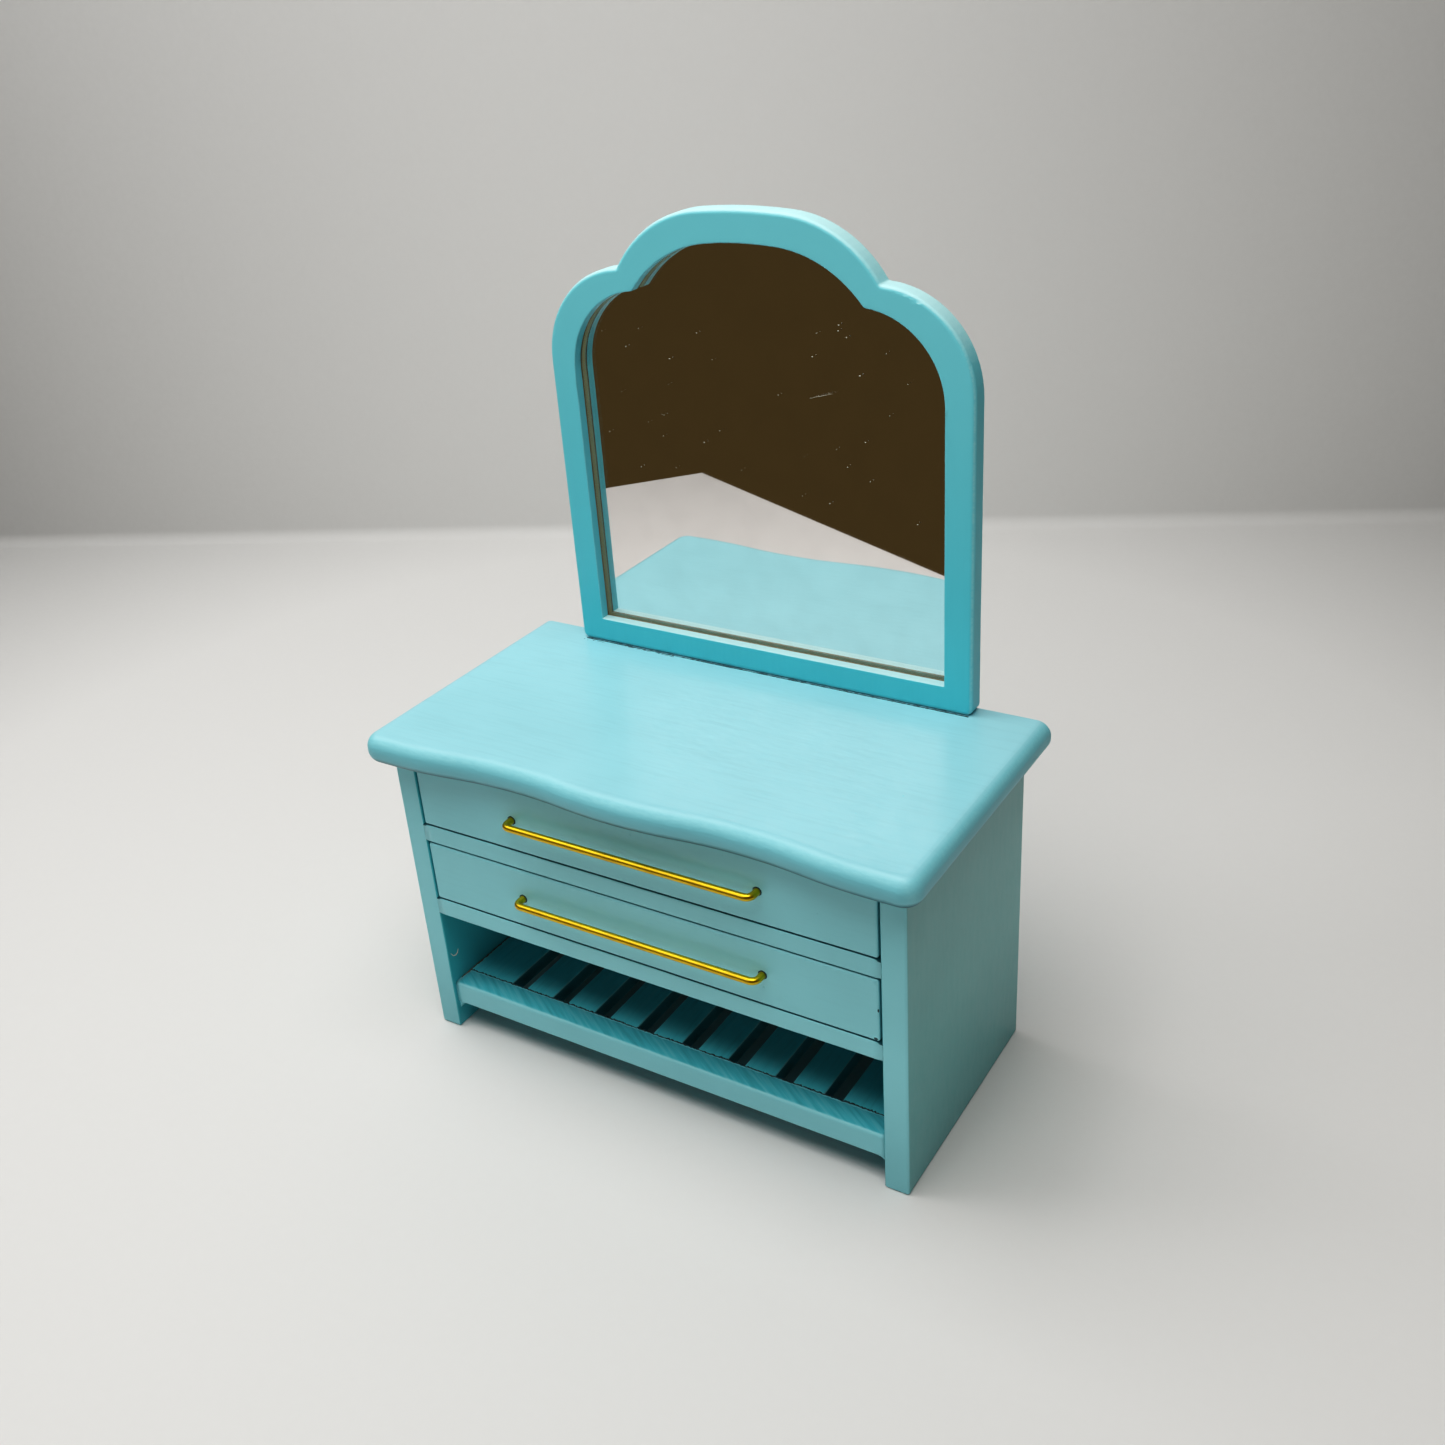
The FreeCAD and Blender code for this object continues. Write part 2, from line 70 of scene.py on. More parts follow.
BODY_OF = {node: body for body, nodes in frame["record"]["behaviour"]["bodies"].items()
           for node in nodes}

# ---------------------------------------------------------------- camera, stage and light

CAMERA_STANDS = Vector((118.77, -173.93, 172.45)) * MM
CAMERA_LOOKS_AT = Vector((-2.38, 10.68, 55.22)) * MM
CAMERA_ROLL = math.radians(-4.234)
CAMERA_SENSOR = 36.0
CAMERA_LENS = 38.12
CAMERA_SHIFT = (0.0013, -0.0023)

# The floor is a sheet turned a little about Z. It ends in front of the table, and at the back
# it bends up into the backdrop. Distances are from the origin, along the sheet's own axes.
STAGE_TURN = math.radians(24.5)
STAGE_LEFT_FRONT = -229 * MM
STAGE_LEFT_BACK = -340 * MM
STAGE_RIGHT = 700 * MM
STAGE_FRONT = -118 * MM
STAGE_BACK = 237 * MM
STAGE_BEND = 4 * MM
STAGE_BEND_STEPS = 12
STAGE_HIGH = 520 * MM

# Lamps are given on the same axes: place, size, power in watts, colour and what they act on.
# A card only shows in gloss, and the fill, which stands for light off the desk, never does.
# All face the table. Places and sizes are in mm.
LAMPS = {"overhead_front": ((0, -110, 450), (300, 300), 1.25, (1.0, 0.99, 0.97), "all"),
         "overhead_left": ((-250, 60, 430), (300, 420), 1.22, (1.0, 0.99, 0.98), "all"),
         "gloss_card": ((-290, -215, 335), (220, 130), 0.24, (1.0, 0.99, 0.98), "gloss"),
         "low_fill": ((30, -330, 40), (500, 140), 0.21, (1.0, 0.98, 0.95), "diffuse")}
LAMPS_FACE = (0, 0, 40)

# What the mirror and gloss see of the room, how much of it lights the table, and what the
# camera sees past the end of the sheet.
ROOM_SEEN = (0.065, 0.044, 0.0155, 1)
ROOM_LIGHT = (0.022, 0.016, 0.009, 1)
ROOM_TO_CAMERA = (0.50, 0.50, 0.48, 1)

# Points added to the view's combined curve: a tone, and the tone that it is shown as.
COMBINED_CURVE = 3
VIEW_TONES = ((0.05, 0.036), (0.12, 0.103), (0.25, 0.240), (0.45, 0.46), (0.75, 0.77))


def make_camera():
    data = bpy.data.cameras.new("camera")
    data.sensor_width = CAMERA_SENSOR
    data.lens = CAMERA_LENS
    data.shift_x, data.shift_y = CAMERA_SHIFT
    data.clip_start = MM
    forward = (CAMERA_LOOKS_AT - CAMERA_STANDS).normalized()
    level = forward.cross(Vector((0, 0, 1))).normalized()
    upright = level.cross(forward)
    right = level * math.cos(CAMERA_ROLL) + upright * math.sin(CAMERA_ROLL)
    up = right.cross(forward)
    turn = Matrix((right, up, -forward)).transposed().to_4x4()
    camera = bpy.data.objects.new("camera", data)
    camera.matrix_world = Matrix.Translation(CAMERA_STANDS) @ turn
    SCENE.collection.objects.link(camera)
    SCENE.camera = camera


def on_stage(across, away, high):
    """A place on the table's axes, from distances along the stage's."""
    return Matrix.Rotation(STAGE_TURN, 3, "Z") @ Vector((across, away, high))


def make_stage(material):
    """A pale sheet: floor, bend and backdrop as one strip."""
    centre = STAGE_BACK - STAGE_BEND
    profile = [(STAGE_LEFT_FRONT, STAGE_FRONT, 0.0)]
    for step in range(STAGE_BEND_STEPS + 1):
        angle = math.pi / 2 * step / STAGE_BEND_STEPS
        profile.append((STAGE_LEFT_BACK, centre + STAGE_BEND * math.sin(angle),
                        STAGE_BEND - STAGE_BEND * math.cos(angle)))
    profile.append((STAGE_LEFT_BACK, STAGE_BACK, STAGE_HIGH))
    mesh = bpy.data.meshes.new("stage")
    corners = [on_stage(side, away, high) for left, away, high in profile
               for side in (left, STAGE_RIGHT)]
    faces = [(2 * i, 2 * i + 1, 2 * i + 3, 2 * i + 2) for i in range(len(profile) - 1)]
    mesh.from_pydata(corners, [], faces)
    mesh.shade_smooth()
    mesh.materials.append(material)
    stage = bpy.data.objects.new("stage", mesh)
    SCENE.collection.objects.link(stage)


def make_lamps():
    aim = Vector(LAMPS_FACE) * MM
    for name, (place, size, power, colour, acts_on) in LAMPS.items():
        data = bpy.data.lights.new(name, "AREA")
        data.shape = "RECTANGLE"
        data.size, data.size_y = size[0] * MM, size[1] * MM
        data.energy = power
        data.color = colour
        lamp = bpy.data.objects.new(name, data)
        lamp.visible_camera = False
        lamp.visible_diffuse = acts_on != "gloss"
        lamp.visible_glossy = acts_on != "diffuse"
        lamp.visible_transmission = acts_on != "diffuse"
        lamp.location = on_stage(*place) * MM
        lamp.rotation_euler = (aim - lamp.location).to_track_quat("-Z", "Y").to_euler()
        SCENE.collection.objects.link(lamp)


def make_surround():
    """A dim warm room all round. The mirror and the gloss of the paint show it, it lights the
    table less than that, and the camera sees a plain grey in its place."""
    world = bpy.data.worlds.new("room")
    SCENE.world = world
    world.use_nodes = True
    tree = world.node_tree
    tree.nodes.clear()
    path = tree.nodes.new("ShaderNodeLightPath")
    room = background(tree, ROOM_SEEN)
    for ray, colour in (("Is Diffuse Ray", ROOM_LIGHT), ("Is Camera Ray", ROOM_TO_CAMERA)):
        mix = tree.nodes.new("ShaderNodeMixShader")
        tree.links.new(path.outputs[ray], mix.inputs["Fac"])
        tree.links.new(room, mix.inputs[1])
        tree.links.new(background(tree, colour), mix.inputs[2])
        room = mix.outputs[0]
    out = tree.nodes.new("ShaderNodeOutputWorld")
    tree.links.new(room, out.inputs["Surface"])


def background(tree, colour):
    node = tree.nodes.new("ShaderNodeBackground")
    node.inputs["Color"].default_value = colour
    return node.outputs[0]


def set_view():
    """Standard view, with the dark tones pulled down a little."""
    view = SCENE.view_settings
    view.view_transform = "Standard"
    view.use_curve_mapping = True
    tones = view.curve_mapping.curves[COMBINED_CURVE]
    for tone, shown in VIEW_TONES:
        tones.points.new(tone, shown)
    view.curve_mapping.update()


# ---------------------------------------------------------------- materials

# Limits between which a face gives way to what lies round it, as the part of its normal that
# points along an axis: past a board's eased edge, on it, on any edge, and looking upward.
RIM_PAST_EASE = (0.60, 0.35)
RIM_ON_EASE = (0.97, 0.80)
EDGE_TURNS = (0.98, 0.78)
LOOKS_UP = (0.3, 0.9)
# How far in front of a surface a point must be, for the surface to look to it.
LOOKS_TO = (-1 * MM, -3 * MM)
# The middle of a noise, where most of its values are.
MIDDLE = (0.3, 0.7)


def drawn_out(axis, across, along):
    """Scales of a noise that is drawn out along one axis, in waves per mm."""
    scales = [across] * 3
    scales[axis] = along
    return scales


class Nodes:
    """A material under construction, with short ways to add and join its nodes."""

    def __init__(self, name):
        self.material = bpy.data.materials.new(name)
        self.material.use_nodes = True
        self.tree = self.material.node_tree
        self.shader = self.tree.nodes["Principled BSDF"]
        self.place = self.add("ShaderNodeTexCoord").outputs["Object"]
        self.colour = None

    def paint(self, colour):
        """Give the surface its colour, and keep it for a colour that is built on it."""
        self.colour = colour
        self.put(colour, self.shader.inputs["Base Color"])

    def add(self, kind, **settings):
        node = self.tree.nodes.new(kind)
        for name, value in settings.items():
            setattr(node, name, value)
        return node

    def put(self, source, socket):
        """Join an output to a socket, or set the socket to a plain value."""
        if isinstance(source, bpy.types.NodeSocket):
            self.tree.links.new(source, socket)
        else:
            socket.default_value = source

    def stretched(self, per_mm, turned):
        """Object coordinates in mm, turned about Z, times a scale for each axis."""
        turn = self.add("ShaderNodeVectorRotate", rotation_type="Z_AXIS")
        self.put(self.place, turn.inputs["Vector"])
        turn.inputs["Angle"].default_value = turned
        node = self.add("ShaderNodeMapping")
        self.put(turn.outputs["Vector"], node.inputs["Vector"])
        node.inputs["Scale"].default_value = [scale / MM for scale in per_mm]
        return node.outputs["Vector"]

    def noise(self, per_mm, detail=2.0, rough=0.5, turned=0.0):
        node = self.add("ShaderNodeTexNoise")
        self.put(self.stretched(per_mm, turned), node.inputs["Vector"])
        node.inputs["Scale"].default_value = 1.0
        node.inputs["Detail"].default_value = detail
        node.inputs["Roughness"].default_value = rough
        return node.outputs["Fac"]

    def ranged(self, value, low, high, to_low=0.0, to_high=1.0):
        node = self.add("ShaderNodeMapRange")
        self.put(value, node.inputs["Value"])
        node.inputs["From Min"].default_value = low
        node.inputs["From Max"].default_value = high
        node.inputs["To Min"].default_value = to_low
        node.inputs["To Max"].default_value = to_high
        return node.outputs["Result"]

    def maths(self, operation, first, second=0.0):
        node = self.add("ShaderNodeMath", operation=operation)
        self.put(first, node.inputs[0])
        self.put(second, node.inputs[1])
        return node.outputs[0]

    def mixed(self, factor, first, second):
        node = self.add("ShaderNodeMix", data_type="RGBA")
        sockets = [socket for socket in node.inputs if socket.enabled]
        self.put(factor, sockets[0])
        self.put(first, sockets[1])
        self.put(second, sockets[2])
        return next(socket for socket in node.outputs if socket.enabled)

    def bump(self, height, depth, under=None):
        """Turn a height from 0 to 1 into a bump of so many mm."""
        node = self.add("ShaderNodeBump")
        node.inputs["Strength"].default_value = 1.0
        node.inputs["Distance"].default_value = depth * MM
        self.put(height, node.inputs["Height"])
        if under is not None:
            self.put(under, node.inputs["Normal"])
        return node.outputs["Normal"]

    def normal_axes(self):
        split = self.add("ShaderNodeSeparateXYZ")
        self.put(self.add("ShaderNodeTexCoord").outputs["Normal"], split.inputs[0])
        return split.outputs

    def rim(self, faces, begins, ends):
        """0 on a board's large faces, which look along one axis, and 1 on its rim."""
        return self.ranged(self.maths("ABSOLUTE", self.normal_axes()[faces]), begins, ends)

    def on_edges(self):
        """Near 1 on a rounded edge and 0 on a face that looks along an axis."""
        x, y, z = [self.maths("ABSOLUTE", output) for output in self.normal_axes()]
        most = self.maths("MAXIMUM", x, self.maths("MAXIMUM", y, z))
        return self.ranged(most, *EDGE_TURNS)

    def looks_up(self):
        return self.ranged(self.normal_axes()[2], *LOOKS_UP)

    def looks_to(self, centre):
        """1 where a surface looks towards a point, as the inside of a ring does."""
        arm = self.add("ShaderNodeVectorMath", operation="SUBTRACT")
        self.put(self.place, arm.inputs[0])
        arm.inputs[1].default_value = centre
        turn = self.add("ShaderNodeVectorMath", operation="DOT_PRODUCT")
        self.put(arm.outputs["Vector"], turn.inputs[0])
        self.put(self.add("ShaderNodeTexCoord").outputs["Normal"], turn.inputs[1])
        return self.ranged(turn.outputs["Value"], *LOOKS_TO)

    def beyond(self, axis, place, fade):
        """1 past a place along an axis, both in mm."""
        split = self.add("ShaderNodeSeparateXYZ")
        self.put(self.place, split.inputs[0])
        return self.ranged(split.outputs[axis], place * MM, (place + fade) * MM)


# One paint in copies set board by board to how light falls on it. The top, fronts, crest and ledges
# are painted lighter, as painted light and sheen. The sides, inside, rails, slats, rims and foot
# are darker or deeper, as painted shade and reflected light. AQUA_SHADED and the crevice colours
# are painted shade where they darken gaps, cracks and undersides.
AQUA = (0.165, 0.640, 0.735, 1)
AQUA_FRONT = (0.270, 0.690, 0.755, 1)
AQUA_FRONT_RIM = (0.120, 0.460, 0.530, 1)
AQUA_TOP = (0.300, 0.655, 0.735, 1)
AQUA_TOP_RIM = (0.205, 0.595, 0.680, 1)
AQUA_SIDE = (0.150, 0.480, 0.480, 1)
AQUA_INSIDE = (0.045, 0.430, 0.500, 1)
AQUA_RAIL = (0.080, 0.520, 0.610, 1)
AQUA_RAIL_FRONT = (0.230, 0.600, 0.660, 1)
AQUA_SLAT = (0.110, 0.740, 0.850, 1)
AQUA_SLAT_SIDE = (0.035, 0.240, 0.280, 1)
AQUA_FOOT = (0.075, 0.600, 0.710, 1)
AQUA_CREST = (0.210, 0.720, 0.810, 1)
AQUA_PALE = (0.330, 0.745, 0.790, 1)
AQUA_LEDGE = (0.520, 0.840, 0.860, 1)
AQUA_SHADED = (0.015, 0.130, 0.160, 1)
BROWN_EDGE = (0.300, 0.400, 0.320, 1)
BARE_REBATE = (0.170, 0.158, 0.085, 1)
BEHIND_GLASS = (0.100, 0.094, 0.050, 1)
CREVICE_COLOURS = ((0.010, 0.055, 0.070, 1), (0.004, 0.018, 0.024, 1))
DUST_COLOURS = ((0.62, 0.58, 0.48, 1), (0.80, 0.78, 0.70, 1))
CLEAN_WOOD = ((0.60, 0.42, 0.24, 1), (0.42, 0.26, 0.13, 1))
WORN_WOOD = ((0.22, 0.17, 0.12, 1), (0.06, 0.05, 0.04, 1))
BRASS_COLOURS = ((0.74, 0.49, 0.022, 1), (0.58, 0.36, 0.018, 1))
GLASS_TINT = (0.990, 0.992, 0.985, 1)
GLASS_IOR = 1.49
SILVER_COLOURS = ((0.95, 0.91, 0.90, 1), (0.92, 0.88, 0.87, 1))
FIBRE_COLOURS = ((0.19, 0.115, 0.065, 1), (0.29, 0.19, 0.115, 1))
SHEET_NEAR = (0.725, 0.725, 0.715, 1)
SHEET_FAR = (0.270, 0.270, 0.264, 1)
SHEET_TOOTH = (0.9, 0.9, 0.9, 1)
SHEET_SHADOW = (0.16, 0.26, 0.27, 1)

# Paint: how much of the shaded colour the clouds bring, its gloss, and its rim's extra
# roughness.
CLOUD_SHARE = 0.06
SATIN = (0.30, 0.37)
RIM_DULLER = 0.12
# The top's edge is painted darker where it turns under: painted shade under the overhang.
UNDER_TURNS = (-0.30, -0.60)
UNDER_SHARE = 0.95
# The mirror frame, in mm: its colour changes over a height, deeper at the foot as painted
# reflected light from the top and lighter at the crest as painted light; its ledges are paler,
# a painted highlight where they look up; its opening has a bare strip in front of the glass,
# and only the wood just behind the opening glows.
CREST_FADE = 60.0
LEDGE_SHARE = 0.9
BARE_STRIP = 0.38
STRIP_FADE = 0.04
LIP_TURNS = (0.90, 0.95)
LIP_REACH = 0.3
# The sides, in mm: the middle of the case, and how far up they are painted darker by the feet
# (painted shade).
CASE_CENTRE = Vector((0, 0, 27))
LOW_SHADE_HEIGHT = 24.0
LOW_SHADE_FADE = 22.0
LOW_SHADE_SHARE = 0.30
# The sheet is painted bright near a place and darker between two distances from it, a painted
# falloff of light. Under the table it is painted dark between these distances from the middle,
# a painted shadow. All are in mm.
SHEET_BRIGHT_AT = Vector((-40, 40, 60))
SHEET_FADES = (185, 430)
SHEET_SHADOW_X = (40, 36)
SHEET_SHADOW_Y = (14, 10)


def aqua_paint(name, along, faces, face=AQUA, rim=AQUA_FRONT, turned=0.0, streaks=0.02,
               brush=0.005, wear_and_highlight=0.30, wear_and_highlight_to=AQUA_PALE, square=False, lumps=0.0,
               peel_depth=0.012):
    """Satin paint brushed along one axis (0, 1 or 2), or turned from it about Z. The
    board's large faces look along the axis faces. The rim's colour differs from the face's as
    painted light and shade: darker in gaps and under edges, lighter on the rails' fronts. It
    begins past the rounded edge if the board is square, and on it otherwise. The rim may have
    lumps, in mm. Rounded edges turn in patches to another colour, partly wear and partly a
    painted highlight."""
    nodes = Nodes(name)
    grain = nodes.noise(drawn_out(along, 1.5, 0.10), detail=3.0, turned=turned)
    clouds = nodes.noise((0.05, 0.05, 0.05))
    blotches = nodes.noise((0.8, 2.4, 2.4), detail=3.0, rough=0.6)
    peel = nodes.noise(drawn_out(along, 1.0, 0.35))
    rim_part = nodes.rim(faces, *(RIM_PAST_EASE if square else RIM_ON_EASE))
    # The rim's own colour: painted shade where it is darker, painted light where it is lighter.
    colour = nodes.mixed(rim_part, face, rim)
    colour = nodes.mixed(nodes.ranged(clouds, 0.35, 0.65, 0.0, CLOUD_SHARE), colour, AQUA_SHADED)
    for ends_at, streak in ((0.70, AQUA_PALE), (0.30, AQUA_SHADED)):
        share = nodes.ranged(grain, 0.49, ends_at, 0.0, streaks)
        share = nodes.maths("MULTIPLY", share, nodes.maths("SUBTRACT", 1.0, rim_part))
        colour = nodes.mixed(share, colour, streak)
    # Rounded edges turn to another colour in patches: partly wear and partly a painted highlight.
    patchy = nodes.ranged(blotches, 0.35, 0.60, 0.35, 1.0)
    edges = nodes.maths("MULTIPLY", nodes.on_edges(), patchy)
    nodes.paint(nodes.mixed(nodes.maths("MULTIPLY", edges, wear_and_highlight), colour, wear_and_highlight_to))
    gloss = nodes.ranged(peel, *MIDDLE, *SATIN)
    nodes.put(nodes.maths("ADD", gloss, nodes.maths("MULTIPLY", rim_part, RIM_DULLER)),
              nodes.shader.inputs["Roughness"])
    normal = nodes.bump(grain, brush)
    normal = nodes.bump(peel, peel_depth, under=normal)
    normal = nodes.bump(nodes.maths("MULTIPLY", rim_part, blotches), lumps, under=normal)
    nodes.put(normal, nodes.shader.inputs["Normal"])
    return nodes


def top_paint():
    """The top board's paint, painted darker where its edge turns under: painted shade under the
    overhang.
    """
    nodes = aqua_paint("aqua_top", 0, faces=2, face=AQUA_TOP, rim=AQUA_TOP_RIM, streaks=0.05,
                       brush=0.012, wear_and_highlight=0.30, lumps=0.026, peel_depth=0.040)
    under = nodes.ranged(nodes.normal_axes()[2], *UNDER_TURNS, 0.0, UNDER_SHARE)
    nodes.paint(nodes.mixed(under, nodes.colour, AQUA_SHADED))
    return nodes


def frame_paint():
    """The mirror frame's paint. It is deeper near the foot, as painted reflected light from the
    top, lighter towards the crest, as painted light, and paler on what looks up, a painted
    highlight. It doesn't reach the back of the opening, where the glass lies. The wood that holds
    the pane from the front glows faintly: it stands for light that comes to it through the glass."""
    low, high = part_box("mirror_frame")
    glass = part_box("mirror_glass")[0].y / MM
    nodes = aqua_paint("aqua_frame", 2, faces=1, face=AQUA_FOOT, rim=AQUA, wear_and_highlight=0.7, lumps=0.004)
    crest = nodes.mixed(nodes.beyond(2, low.z / MM, CREST_FADE), nodes.colour, AQUA_CREST)
    colour = nodes.mixed(nodes.rim(1, *RIM_ON_EASE), crest, nodes.colour)
    ledge = nodes.maths("MULTIPLY", nodes.looks_up(), LEDGE_SHARE)
    colour = nodes.mixed(ledge, colour, AQUA_LEDGE)
    strip = nodes.maths("MULTIPLY", nodes.looks_to((low + high) / 2),
                        nodes.beyond(1, glass - BARE_STRIP, STRIP_FADE))
    strip = nodes.maths("MULTIPLY", strip, nodes.rim(1, *RIM_PAST_EASE))
    nodes.paint(nodes.mixed(strip, colour, BARE_REBATE))
    lip = nodes.maths("MULTIPLY", nodes.ranged(nodes.normal_axes()[1], *LIP_TURNS),
                      nodes.beyond(1, glass + LIP_REACH, -STRIP_FADE))
    nodes.shader.inputs["Emission Color"].default_value = BEHIND_GLASS
    nodes.put(lip, nodes.shader.inputs["Emission Strength"])
    return nodes


def side_paint():
    """The side panels' paint, a darker, greyer copy for the shaded side: deeper inside the case
    and darker down by the feet, all painted shade.
    """
    nodes = aqua_paint("aqua_sides", 2, faces=0, face=AQUA_SIDE)
    colour = nodes.mixed(nodes.looks_to(CASE_CENTRE * MM), nodes.colour, AQUA_INSIDE)
    low_shade = nodes.maths("MULTIPLY", nodes.beyond(2, LOW_SHADE_HEIGHT, -LOW_SHADE_FADE), LOW_SHADE_SHARE)
    nodes.paint(nodes.mixed(low_shade, colour, AQUA_SHADED))
    return nodes


def patchy_finish(name, scales, colours, spread, roughness, rough_spread=MIDDLE, **noise_settings):
    """A finish whose colour and roughness both follow one noise. Gives its nodes and the noise."""
    nodes = Nodes(name)
    patches = nodes.noise(scales, **noise_settings)
    nodes.paint(nodes.mixed(nodes.ranged(patches, *spread), *colours))
    nodes.put(nodes.ranged(patches, *rough_spread, *roughness), nodes.shader.inputs["Roughness"])
    return nodes, patches


def shaded_paint():
    """Aqua paint darkened as painted shade, for what is seen down a crack, in a hole or at the
    bottom of a joint.
    """
    nodes, _ = patchy_finish("aqua_crevice", (0.8, 0.8, 0.8), CREVICE_COLOURS, MIDDLE, (0.55, 0.7))
    return nodes.material


def pale_dust():
    nodes, _ = patchy_finish("pale_dust", (3.0, 3.0, 3.0), DUST_COLOURS, (0.0, 1.0), (0.6, 0.8),
                             detail=1.0)
    return nodes.material


def bare_wood(name, along, colours=CLEAN_WOOD):
    """Unpainted wood with its grain along one axis."""
    nodes, _ = patchy_finish(name, drawn_out(along, 1.3, 0.06), colours, (0.35, 0.7), (0.6, 0.75),
                             detail=4.0, rough=0.6)
    pores = nodes.noise(drawn_out(along, 4.0, 0.4), detail=1.0)
    nodes.paint(nodes.mixed(nodes.ranged(pores, 0.6, 0.8, 0.0, 0.4), nodes.colour, colours[1]))
    nodes.put(nodes.bump(pores, 0.02), nodes.shader.inputs["Normal"])
    return nodes.material


def drawn_brass():
    """Bright wire, duller where fingers and paint reach it."""
    nodes, _ = patchy_finish("drawn_brass", (0.25, 0.6, 0.6), BRASS_COLOURS, (0.4, 0.75),
                             (0.30, 0.36))
    nodes.shader.inputs["Metallic"].default_value = 1.0
    return nodes.material


def clear_glass():
    """The pane in front of the silver, faintly green, with a trace of dust in its gloss."""
    nodes = Nodes("clear_glass")
    smears = nodes.noise((0.12, 0.12, 0.3), detail=3.0)
    nodes.shader.inputs["Base Color"].default_value = GLASS_TINT
    nodes.put(nodes.ranged(smears, 0.5, 0.8, 0.0, 0.02), nodes.shader.inputs["Roughness"])
    nodes.shader.inputs["Transmission Weight"].default_value = 1.0
    nodes.shader.inputs["IOR"].default_value = GLASS_IOR
    return nodes.material


def silvering():
    nodes, _ = patchy_finish("silvering", (0.2, 0.2, 0.2), SILVER_COLOURS, (0.4, 0.7),
                             (0.0, 0.015), rough_spread=(0.4, 0.8), detail=3.0)
    nodes.shader.inputs["Metallic"].default_value = 1.0
    return nodes.material


def pressed_board():
    """Thin brown fibre board, flecked."""
    nodes, flecks = patchy_finish("pressed_board", (1.8, 1.8, 1.8), FIBRE_COLOURS, (0.35, 0.65),
                                  (0.75, 0.9), detail=4.0, rough=0.7)
    nodes.put(nodes.bump(flecks, 0.03), nodes.shader.inputs["Normal"])
    return nodes.material


def pale_sheet():
    """The matt floor and backdrop, painted darker far from the table, a painted falloff of light,
    and painted dark under the table, a painted shadow.
    """
    nodes = Nodes("pale_sheet")
    tooth = nodes.noise((0.6, 0.6, 0.6))
    arm = nodes.add("ShaderNodeVectorMath", operation="DISTANCE")
    nodes.put(nodes.place, arm.inputs[0])
    arm.inputs[1].default_value = SHEET_BRIGHT_AT * MM
    far = nodes.ranged(arm.outputs["Value"], *[distance * MM for distance in SHEET_FADES])
    split = nodes.add("ShaderNodeSeparateXYZ")
    nodes.put(nodes.place, split.inputs[0])
    within = [nodes.ranged(nodes.maths("ABSOLUTE", output), *[limit * MM for limit in limits])
              for output, limits in zip(split.outputs, (SHEET_SHADOW_X, SHEET_SHADOW_Y))]
    colour = nodes.mixed(far, SHEET_NEAR, SHEET_FAR)
    colour = nodes.mixed(nodes.ranged(tooth, *MIDDLE, 0.0, 0.03), colour, SHEET_TOOTH)
    nodes.paint(nodes.mixed(nodes.maths("MULTIPLY", *within), colour, SHEET_SHADOW))
    nodes.shader.inputs["Roughness"].default_value = 0.7
    return nodes.material


# ---------------------------------------------------------------- building pieces

SHARP = math.radians(50)
# Edges: how far each kind of board's are eased, and the fronts' corners, and in how many steps.
WOOD_EASE = 0.08 * MM
BOARD_EASE = 0.10 * MM
ROUNDER_EASE = 0.25 * MM
FRONT_EASE = 0.22 * MM
FRONT_CORNER = 0.55 * MM
EASE_STEPS = 2
CORNER_STEPS = 4
# How far a butted board reaches into its neighbours.
BUTT_REACH = 0.11 * MM
# Waves in the boards: their lengths and heights, and how much of them goes through a face.
WAVE_LONG = 9.0 * MM
WAVE_SHORT = 3.1 * MM
WAVE_HIGH = 0.055 * MM
RIPPLE_HIGH = 0.03 * MM
WAVE_THROUGH_FACE = 0.35
# Slack within which corners are one corner, faces are one face, ends are ends and cuts meet.
ONE_CORNER = 0.0005 * MM
ONE_FACE = math.radians(0.2)
AT_END = 0.01 * MM
CUT_SLACK = 0.001 * MM
# The least part of an edge's direction that is along an axis, for it to run along that axis.
RUNS_ALONG = 0.99
# How far a run of faces is divided, in mm, by what the node's name contains.
CELLS = {"top_board": 1.6, "side_panel": 1.4, "back_panel": 2.0, "divider": 1.6, "shelf_": 1.0,
         "drawer_front": 1.2, "shelf_slat": 1.2, "mirror_frame": 1.0}
WOOD_CELL = 2.0
EASES = {"drawer_front": FRONT_EASE, "side_panel": ROUNDER_EASE, "shelf_": ROUNDER_EASE}
# The brush strokes on the shelf rails run askew.
STROKE_TURN = math.radians(33)


def show(name, mesh, material, slot, body, *replaced):
    """Put a finished mesh in the scene as a piece of the object."""
    mesh.materials.clear()
    mesh.materials.append(material)
    piece = bpy.data.objects.new(name, mesh)
    SCENE.collection.objects.link(piece)
    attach(piece, body)
    if replaced:
        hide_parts(*replaced)
    return piece


def even_normals(piece):
    """Let the large faces of a smooth-shaded piece keep their normals flat."""
    modifier = piece.modifiers.new("even_normals", "WEIGHTED_NORMAL")
    modifier.keep_sharp = True


def inside_cad_box(point):
    low, high = CAD_BOX
    return Vector([min(max(point[axis], low[axis]), high[axis]) for axis in range(3)])


def hand_made(point, normal):
    """Where a point of a perfect board lies on a hand-painted one. The waves depend on the
    place alone, so that boards that touch stay together."""
    drift = noise.noise_vector(point / WAVE_LONG) * WAVE_HIGH
    drift += noise.noise_vector(point / WAVE_SHORT) * RIPPLE_HIGH
    drift -= normal * drift.dot(normal) * (1 - WAVE_THROUGH_FACE)
    return inside_cad_box(point + drift)


